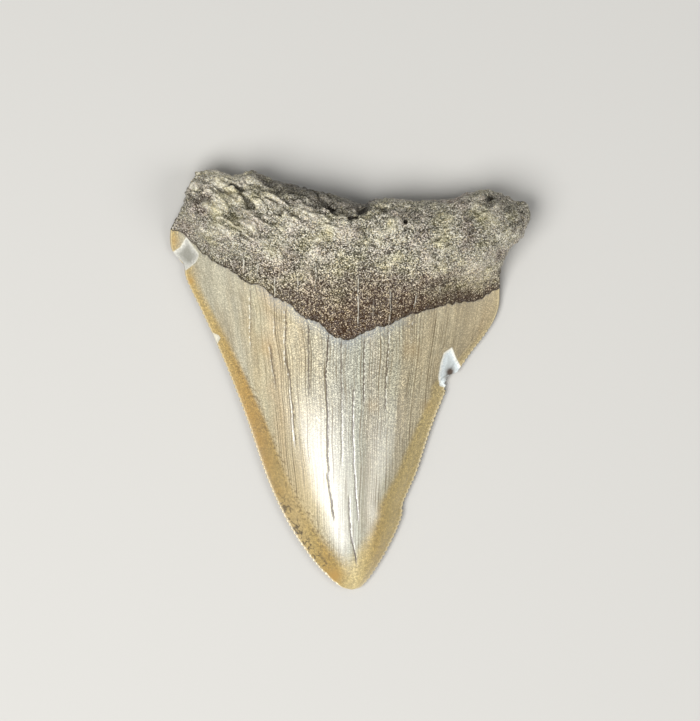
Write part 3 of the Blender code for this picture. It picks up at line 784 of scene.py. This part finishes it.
def enamel_rim(add, mark):
    """A ragged blue-grey rim under the enamel line, where the enamel thins, and painted shade in patches on
    its lip.

    The rim is frosted by the crystals and fades out towards both sides.
    """
    ragged = add("Math", "MULTIPLY_ADD", mark["sparkle"], 3.0, mark["above_line"])[0]
    rim = add("MapRange", SMOOTH, ragged, -1.2, 1.9, 0.0, 0.5)[0]
    off_middle = add("Math", "ADD", mark["x"], 3.0)[0]
    off_middle = add("Math", "ABSOLUTE", off_middle)[0]
    in_middle = add("MapRange", SMOOTH, off_middle, 9.0, 16.0, 1.0, 0.15)[0]
    frosted = add("MapRange", None, mark["chance"], 0.3, 0.9, 1.15, 0.2)[0]
    for where in (in_middle, frosted):
        rim = add("Math", "MULTIPLY", rim, where)[0]
    # Painted shade: the lip at the enamel line's step is darkened in patches.
    grainy = add("Math", "MULTIPLY_ADD", mark["chance"], 0.5, mark["above_line"])[0]
    shaded_lip = add("MapRange", SMOOTH, grainy, -0.05, 0.35, 0.0, 1.0)[0]
    in_patches = add("MapRange", None, mark["sparkle"], 0.45, 0.6, 0.0, 0.8)[0]
    shaded_lip = add("Math", "MULTIPLY", shaded_lip, in_patches)[0]
    return (rim, "#868d95"), (shaded_lip, "#65666a")


def edge_band(add, mark):
    """The band along the cutting edges: no dentine behind it, so it is tan, and more orange on the left."""
    x, y, speckle = mark["x"], mark["y"], mark["speckle"]
    blurred = add("Math", "MULTIPLY_ADD", mark["sparkle"], 0.5, mark["band"])[0]
    in_band = add("MapRange", SMOOTH, blurred, -0.35, 0.85, 0.95, 0.0)[0]
    share = add("MapRange", None, x, -24.0, 20.0)[0]
    band_colour = add("ValToRGB", {"stops": [
        (0.0, "#b09659"), (0.06, "#ac9052"), (0.14, "#a98642"), (0.2, "#a08146"), (0.26, "#a3894f"),
        (0.34, "#b39b66"), (0.41, "#ad9352"), (0.45, "#a48540"), (0.49, "#a68a46"), (0.56, "#cab782"),
        (0.65, "#a88d4c"), (0.7, "#a89154"), (0.84, "#a6935f"), (1.0, "#a6956c"),
    ]}, share)[0]
    mottled = add("MapRange", None, speckle, 0.35, 0.6, 1.12, 0.84)[0]
    mottled = add("Math", "MULTIPLY", mottled, mark["sugared"])[0]
    band_colour = add("VectorMath", "SCALE", band_colour, Scale=mottled)[0]

    # Brown specks of 0.5 mm along the band's inner side, which are many on the left.
    specks = add("MapRange", SMOOTH, speckle, 0.5, 0.64)[0]
    off_border = add("Math", "ABSOLUTE", mark["band"])[0]
    on_border = add("MapRange", SMOOTH, off_border, 0.2, 1.5, 0.75, 0.0)[0]
    on_left = add("MapRange", SMOOTH, x, -7.0, 0.0, 1.0, 0.45)[0]
    off_shoulder = add("MapRange", SMOOTH, y, -1.0, 7.0, 1.0, 0.15)[0]
    for where in (on_border, on_left, off_shoulder):
        specks = add("Math", "MULTIPLY", specks, where)[0]

    # Dark curled marks beside the left cutting edge near the tip: where a noise of 1.3 mm crosses its middle.
    curls = add("TexNoise", None, mark["place"], Scale=0.75, Detail=1.0)["Fac"]
    off_level = add("Math", "SUBTRACT", curls, 0.5)[0]
    off_level = add("Math", "ABSOLUTE", off_level)[0]
    curl = add("MapRange", SMOOTH, off_level, 0.01, 0.08, 0.95, 0.0)[0]
    patchy = add("MapRange", None, speckle, 0.4, 0.52, 0.15, 1.0)[0]
    low_down = add("MapRange", SMOOTH, y, -23.0, -16.0, 1.0, 0.0)[0]
    above_tip = add("MapRange", SMOOTH, y, -33.0, -31.5)[0]
    by_edge = add("MapRange", SMOOTH, mark["from_edge"], 1.6, 2.8, 1.0, 0.0)[0]
    left_only = add("Math", "LESS_THAN", x, 0.0)[0]
    for where in (patchy, low_down, above_tip, by_edge, left_only):
        curl = add("Math", "MULTIPLY", curl, where)[0]

    # The cutting edge itself is thin enough to glow pale: a painted glow of the light through it.
    painted_edge_glow = add("MapRange", SMOOTH, mark["from_edge"], 0.1, 0.45, 0.7, 0.0)[0]
    return (
        (in_band, band_colour), (specks, "#6b5730"), (mark["stain"], "#ad8741"), (curl, "#544528"),
        (painted_edge_glow, "#dccba0"),
    )


def enamel_cracks(add, mark):
    """Growth cracks up to 0.5 mm wide: brown dirt inside and a painted highlight along the lit edge beside
    it, both in beads.
    """
    beads = add("TexNoise", None, mark["place"], Scale=1.7, Detail=2.0)["Fac"]
    wobble = add("Math", "MULTIPLY_ADD", beads, 0.3, mark["crack_across"])[0]
    wobble = add("Math", "SUBTRACT", wobble, 0.15)[0]
    side = add("Math", "SIGN", mark["crack_edge"])[0]
    off_side = add("Math", "MULTIPLY_ADD", side, -0.2, wobble)[0]
    off_side = add("Math", "ABSOLUTE", off_side)[0]
    on_side = add("MapRange", SMOOTH, off_side, 0.02, 0.11, 0.9, 0.0)[0]
    white = add("Math", "ABSOLUTE", mark["crack_edge"])[0]
    # The pale line on the crack's lit edge is a painted highlight.
    pale_line_and_highlight = add("MapRange", SMOOTH, beads, 0.44, 0.6, 0.0, 1.0)[0]
    for where in (on_side, white):
        pale_line_and_highlight = add("Math", "MULTIPLY", pale_line_and_highlight, where)[0]
    off_crack = add("Math", "ABSOLUTE", wobble)[0]
    width = add("MapRange", None, beads, 0.35, 0.65, 0.34, 0.08)[0]
    dirty = add("MapRange", SMOOTH, off_crack, 0.03, width, 1.0, 0.0)[0]
    dirty = add("Math", "MULTIPLY", dirty, mark["crack"])[0]
    return (pale_line_and_highlight, "#efecdc"), (dirty, "#412e13")


def flake_scars(add, mark):
    """Bare enamel with a whiter rim, in ragged bands: greyer at the left shoulder, creamier in the nick.

    Dark brown spots in the right scar are painted shade of its holes, which are not cut.
    """
    ragged = add("Math", "MULTIPLY_ADD", mark["speckle"], 1.1, mark["scar"])[0]
    ragged = add("Math", "SUBTRACT", ragged, 0.55)[0]
    in_scar = add("MapRange", SMOOTH, mark["scar"], -0.15, 0.1)[0]
    white_scar = add("ValToRGB", {"stops": [
        (0.0, "#f0eee1"), (0.3, "#e8ebe6"), (0.55, "#d0d7d7"), (1.0, "#c0c6c4"),
    ]}, ragged)[0]
    grey_scar = add("ValToRGB", {"stops": [
        (0.0, "#e2dfd0"), (0.25, "#c8c6bc"), (0.6, "#acaaa0"), (1.0, "#97958a"),
    ]}, ragged)[0]
    at_shoulder = add("Math", "GREATER_THAN", mark["y"], 12.0)[0]
    on_left = add("Math", "LESS_THAN", mark["x"], -15.0)[0]
    in_nick = add("Math", {"operation": "SUBTRACT", "use_clamp": True}, on_left, at_shoulder)[0]
    scar_colour = white_scar
    for factor, other in ((at_shoulder, grey_scar), (in_nick, "#d3cdb8")):
        scar_colour = add("Mix", COLOURS, factor, _6=scar_colour, _7=other)[2]
    scar_light = add("MapRange", None, mark["lightness"], 0.7, 1.3, 0.9, 1.1)[0]
    scar_colour = add("VectorMath", "SCALE", scar_colour, Scale=scar_light)[0]
    # Painted shade of the right scar's holes: dark brown spots.
    return (in_scar, scar_colour), (mark["hole"], "#4b3b2d")


def make_enamel():
    """The crown's finish. Its lower half is the most polished; towards the enamel line it stays dull."""
    material, add, mark = start_material("fossil_enamel", (
        "from_edge", "above_line", "crack_across", "crack", "crack_edge", "scar", "stain", "band", "hole",
    ))
    enamel_patterns(add, mark)
    colour = enamel_ground(add, mark)
    for layers in (growth_lines, enamel_rim, edge_band, enamel_cracks, flake_scars):
        for factor, other in layers(add, mark):
            colour = add("Mix", COLOURS, factor, _6=colour, _7=other)[2]
    roughness = add("MapRange", None, mark["sparkle"], 0.2, 0.8, 0.28, 0.42)[0]
    dull = add("MapRange", SMOOTH, mark["y"], -12.0, 4.0, 0.0, 0.28)[0]
    roughness = add("Math", "ADD", roughness, dull)[0]
    glossy = add("MapRange", SMOOTH, mark["y"], -14.0, 2.0, 1.0, 0.0)[0]
    ripple = add("Math", "MULTIPLY_ADD", mark["hair_line"], -0.6, mark["streaks"])[0]
    ripple = add("Math", "MULTIPLY_ADD", mark["sparkle"], 0.35, ripple)[0]
    bump = add("Bump", None, Strength=0.35, Distance=0.00006, Height=ripple)[0]
    tree = material.node_tree
    shader = tree.nodes["Principled BSDF"]
    looks = {"Base Color": colour, "Roughness": roughness, "Coat Weight": glossy, "Normal": bump}
    for name, socket in looks.items():
        tree.links.new(socket, shader.inputs[name])
    shader.inputs["IOR"].default_value = 1.63
    shader.inputs["Coat Roughness"].default_value = 0.29
    shader.inputs["Coat IOR"].default_value = 1.6
    return material


# FOSSIL ROOT
# The bone-like root, eroded and stained: open, sugar-grained, grey where it was worn and dark brown in the
# smooth wedge over the enamel line. It is dull, and every grain catches the light.

def root_patterns(add, mark):
    """Adds the root's patterns to its marks.

    Each crystal grain is 0.15 mm across and has chances of its own. Painted glints, bright spots of 0.2 mm,
    lie between them, 0.36 mm apart. Streaks are 3 by 0.8 mm along the lobes, and fade out towards the enamel
    line.
    """
    place = mark["place"]
    crystals = add("TexVoronoi", None, place, Scale=6.5)
    mark["tint"] = crystals["Color"]
    mark["chance"], mark["other_chance"], _ = add("SeparateColor", None, crystals["Color"])
    bright = add("TexVoronoi", None, place, Scale=2.8)
    brightness = add("SeparateColor", None, bright["Color"])[0]
    core = add("MapRange", SMOOTH, bright["Distance"], 0.12, 0.42, 1.0, 0.0)[0]
    mark["core"] = add("Math", "MULTIPLY", core, brightness)[0]
    along_lobes = add("CombineXYZ", None, mark["x"], mark["over_flow"], mark["z"])[0]
    along_lobes = add("VectorMath", "MULTIPLY", along_lobes, (0.32, 1.2, 0.6))[0]
    streak = add("TexNoise", None, along_lobes, Scale=1.0, Detail=3.0, Roughness=0.6)["Fac"]
    streak = add("Math", "SUBTRACT", streak, 0.5)[0]
    off_line = add("MapRange", SMOOTH, mark["above_line"], 2.0, 9.0, 0.25, 1.0)[0]
    mark["streak"] = add("Math", "MULTIPLY", streak, off_line)[0]
    mark["blotches"] = add("TexNoise", None, place, Scale=0.22, Detail=4.0, Roughness=0.65)["Fac"]
    mark["flecks"] = add("TexNoise", None, place, Scale=0.9, Detail=3.0, Roughness=0.6)["Fac"]


def root_ground(add, mark):
    """Dark and pale grains, whose two colours change from the wedge over the enamel line to the lobes."""
    wedge_y = add("Math", "MULTIPLY_ADD", mark["blotches"], 8.0, mark["y"])[0]
    in_wedge = add("MapRange", SMOOTH, wedge_y, 13.0, 27.0, 1.0, 0.0)[0]
    blotched = add("MapRange", None, mark["blotches"], 0.3, 0.7)[0]
    pale, dark = (
        add("ValToRGB", {"stops": list(zip((0.0, 0.5, 1.0), codes))}, blotched)[0]
        for codes in (("#ecdecf", "#efe9d6", "#ede4bd"), ("#3f3228", "#433f32", "#524e31"))
    )
    dark = add("Mix", COLOURS, in_wedge, _6=dark, _7="#38230e")[2]
    tanned = add("MapRange", None, mark["other_chance"], 0.7, 0.8, 0.0, 0.6)[0]
    for factor, other in ((in_wedge, "#f0dab8"), (tanned, "#d9c48f")):
        pale = add("Mix", COLOURS, factor, _6=pale, _7=other)[2]

    # How pale each grain is, with the painted glints. The grains stand out most round the wedge and are dull
    # with wear on the lobes.
    grain = add("Math", "POWER", mark["chance"], 1.8)[0]
    shown = add("Math", "MULTIPLY", grain, 0.75)[0]
    for value, share in ((mark["core"], 0.8), (mark["flecks"], 0.3)):
        shown = add("Math", "MULTIPLY_ADD", value, share, shown)[0]
    off_wedge = add("VectorMath", "DISTANCE", mark["place"], (0.0, 17.0, 8.0))["Value"]
    crisp = add("MapRange", SMOOTH, off_wedge, 5.0, 26.0, 1.4, 0.75)[0]
    average = 0.48
    shown = add("Math", "SUBTRACT", shown, average)[0]
    shown = add("Math", "MULTIPLY_ADD", shown, crisp, average)[0]
    low = add("MapRange", None, mark["above_line"], 0.5, 5.0)[0]
    # Painted light and shade: the relief makes raised places paler and low ones darker, and the pale mark
    # adds its own.
    shares = (
        (mark["streak"], 0.5), (mark["relief"], 0.3), (mark["pale"], 0.35), (in_wedge, -0.38), (low, 0.1),
    )
    for value, share in shares:
        shown = add("Math", "MULTIPLY_ADD", value, share, shown)[0]
    shown = add("MapRange", None, shown, 0.28, 1.0)[0]
    return add("Mix", COLOURS, shown, _6=dark, _7=pale)[2]


def root_shade_and_dirt(add, mark):
    """Painted shade: in the gaps, together with their dirt, on the rim between the left lobe and the notch,
    and as a shadow at the enamel line.
    """
    # Painted shade, with dirt, in the root's gaps.
    gap_shade_and_dirt = add("MapRange", None, mark["gap"], 0.2, 0.8)[0]
    # Painted shade on the rim between the left lobe and the notch, where the root turns away from the light.
    rim = add("MapRange", SMOOTH, mark["below_top"], 0.5, 4.5, 0.7, 0.0)[0]
    off_rim = add("Math", "ADD", mark["x"], 6.0)[0]
    off_rim = add("Math", "ABSOLUTE", off_rim)[0]
    dirty = add("MapRange", SMOOTH, off_rim, 5.0, 13.0, 1.0, 0.0)[0]
    rim = add("Math", "MULTIPLY", rim, dirty)[0]
    # A painted shadow along the root's side of the enamel line's step, in flecks.
    line_shadow = add("MapRange", SMOOTH, mark["above_line"], 0.1, 0.6, 1.3, 0.0)[0]
    line_shadow = add("Math", "MULTIPLY", line_shadow, mark["flecks"])[0]
    return (gap_shade_and_dirt, "#2b251c"), (rim, "#4f4a41"), (line_shadow, "#3a3126")


def root_cracks(add, mark):
    """Cracks: thin and pale, with painted shade along one side, broken up by the grains."""
    off_crack = add("Math", "ABSOLUTE", mark["crack_across"])[0]
    on_crack = add("MapRange", SMOOTH, off_crack, 0.03, 0.13, 0.8, 0.0)[0]
    white = add("Math", "ABSOLUTE", mark["crack_edge"])[0]
    pale_line_and_highlight = add("MapRange", None, mark["flecks"], 0.4, 0.55, 0.3, 1.0)[0]
    for where in (on_crack, white):
        pale_line_and_highlight = add("Math", "MULTIPLY", pale_line_and_highlight, where)[0]
    beside = add("Math", "SUBTRACT", mark["crack_across"], 0.24)[0]
    beside = add("Math", "ABSOLUTE", beside)[0]
    shaded = add("MapRange", SMOOTH, beside, 0.04, 0.15, 0.9, 0.0)[0]
    shaded = add("Math", "MULTIPLY", shaded, mark["crack"])[0]
    return (pale_line_and_highlight, "#dedaca"), (shaded, "#2b2119")


def make_root():
    """The root's finish. Each grain is tilted its own way, so that some of them glint."""
    material, add, mark = start_material("fossil_root", (
        "relief", "gap", "over_flow", "pale", "above_line", "below_top", "crack_across", "crack",
        "crack_edge",
    ))
    root_patterns(add, mark)
    colour = root_ground(add, mark)
    for factor, other in root_shade_and_dirt(add, mark) + root_cracks(add, mark):
        colour = add("Mix", COLOURS, factor, _6=colour, _7=other)[2]
    tilt = add("VectorMath", "SUBTRACT", mark["tint"], (0.5, 0.5, 0.4))[0]
    upright = add("NewGeometry")["Normal"]
    facet = add("VectorMath", "MULTIPLY_ADD", tilt, (0.7, 0.7, 0.7), upright)[0]
    facet = add("VectorMath", "NORMALIZE", facet)[0]
    height = add("Math", "MULTIPLY_ADD", mark["streak"], 1.5, mark["flecks"])[0]
    bump = add("Bump", None, Strength=0.9, Distance=0.0006, Height=height, Normal=facet)[0]
    tree = material.node_tree
    shader = tree.nodes["Principled BSDF"]
    tree.links.new(colour, shader.inputs["Base Color"])
    tree.links.new(bump, shader.inputs["Normal"])
    shader.inputs["Roughness"].default_value = 0.27
    shader.inputs["IOR"].default_value = 1.42
    return material


tooth_mesh = build_tooth()
tooth_mesh.materials.append(make_enamel())
tooth_mesh.materials.append(make_root())
tooth = bpy.data.objects.new("fossil_tooth", tooth_mesh)
bpy.context.scene.collection.objects.link(tooth)
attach(tooth, "root")
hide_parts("tooth")


# THE TABLE, LIGHT AND CAMERA
# A plain table of pale matt paper, which shows no highlight, a soft lamp high on the tip's left, a weaker
# one opposite, and a camera straight above.

FLOOR_COLOUR, FLOOR_REACH = "#c4c2bd", 2
SKY_COLOUR, SKY_STRENGTH = "#f2f4f7", 0.34
# A pixel of the photograph in millimetres, its width in pixels and the tooth's point at its middle. The
# pixel's size holds at SCALE_HEIGHT over the table.
PIXEL = 0.171776
PHOTO_WIDTH = 700
MIDDLE_OF_PHOTO = (0.0, 3.35)
SCALE_HEIGHT = 0.005
CAMERA_HEIGHT = 1.2
SENSOR_WIDTH = 36.0

floor_mesh = bpy.data.meshes.new("floor")
corners = [(FLOOR_REACH * x, FLOOR_REACH * y, 0) for x, y in ((-1, -1), (1, -1), (1, 1), (-1, 1))]
floor_mesh.from_pydata(corners, [], [(0, 1, 2, 3)])
floor = bpy.data.objects.new("floor", floor_mesh)
bpy.context.scene.collection.objects.link(floor)
matt_paper = bpy.data.materials.new("matt_paper")
matt_paper.use_nodes = True
matt_paper.node_tree.nodes["Principled BSDF"].inputs["Base Color"].default_value = linear(FLOOR_COLOUR)
matt_paper.node_tree.nodes["Principled BSDF"].inputs["Roughness"].default_value = 0.9
floor_mesh.materials.append(matt_paper)

sky = bpy.data.worlds.new("studio")
sky.use_nodes = True
sky.node_tree.nodes["Background"].inputs["Color"].default_value = linear(SKY_COLOUR)
sky.node_tree.nodes["Background"].inputs["Strength"].default_value = SKY_STRENGTH
bpy.context.scene.world = sky

# Each lamp: name, direction from the tooth, distance, length along and across its tilt, and power.
LAMPS = [
    ("key_lamp", (-0.355, -0.295, 0.9), 0.6, (0.42, 0.45), 3.8),
    ("fill_lamp", (0.66, -0.14, 0.74), 0.8, (0.5, 0.5), 2.0),
]
for lamp_name, toward, distance, (wide, long), power in LAMPS:
    lamp = bpy.data.lights.new(lamp_name, "AREA")
    lamp.shape, lamp.size, lamp.size_y, lamp.energy = "ELLIPSE", wide, long, power
    holder = bpy.data.objects.new(lamp_name, lamp)
    direction = np.array(toward) / np.linalg.norm(toward)
    holder.location = direction * distance
    tilt = math.acos(direction[2])
    holder.rotation_euler = (tilt, 0, math.atan2(direction[1], direction[0]) + math.pi / 2)
    bpy.context.scene.collection.objects.link(holder)

view = bpy.data.cameras.new("camera")
view.sensor_fit, view.sensor_width = "HORIZONTAL", SENSOR_WIDTH
view.lens = SENSOR_WIDTH * CAMERA_HEIGHT / (PHOTO_WIDTH * PIXEL * MM)
view.clip_end = 20
camera = bpy.data.objects.new("camera", view)
camera.location = (MIDDLE_OF_PHOTO[0] * MM, MIDDLE_OF_PHOTO[1] * MM, CAMERA_HEIGHT + SCALE_HEIGHT)
bpy.context.scene.collection.objects.link(camera)
bpy.context.scene.camera = camera
bpy.context.scene.view_settings.view_transform = "Standard"
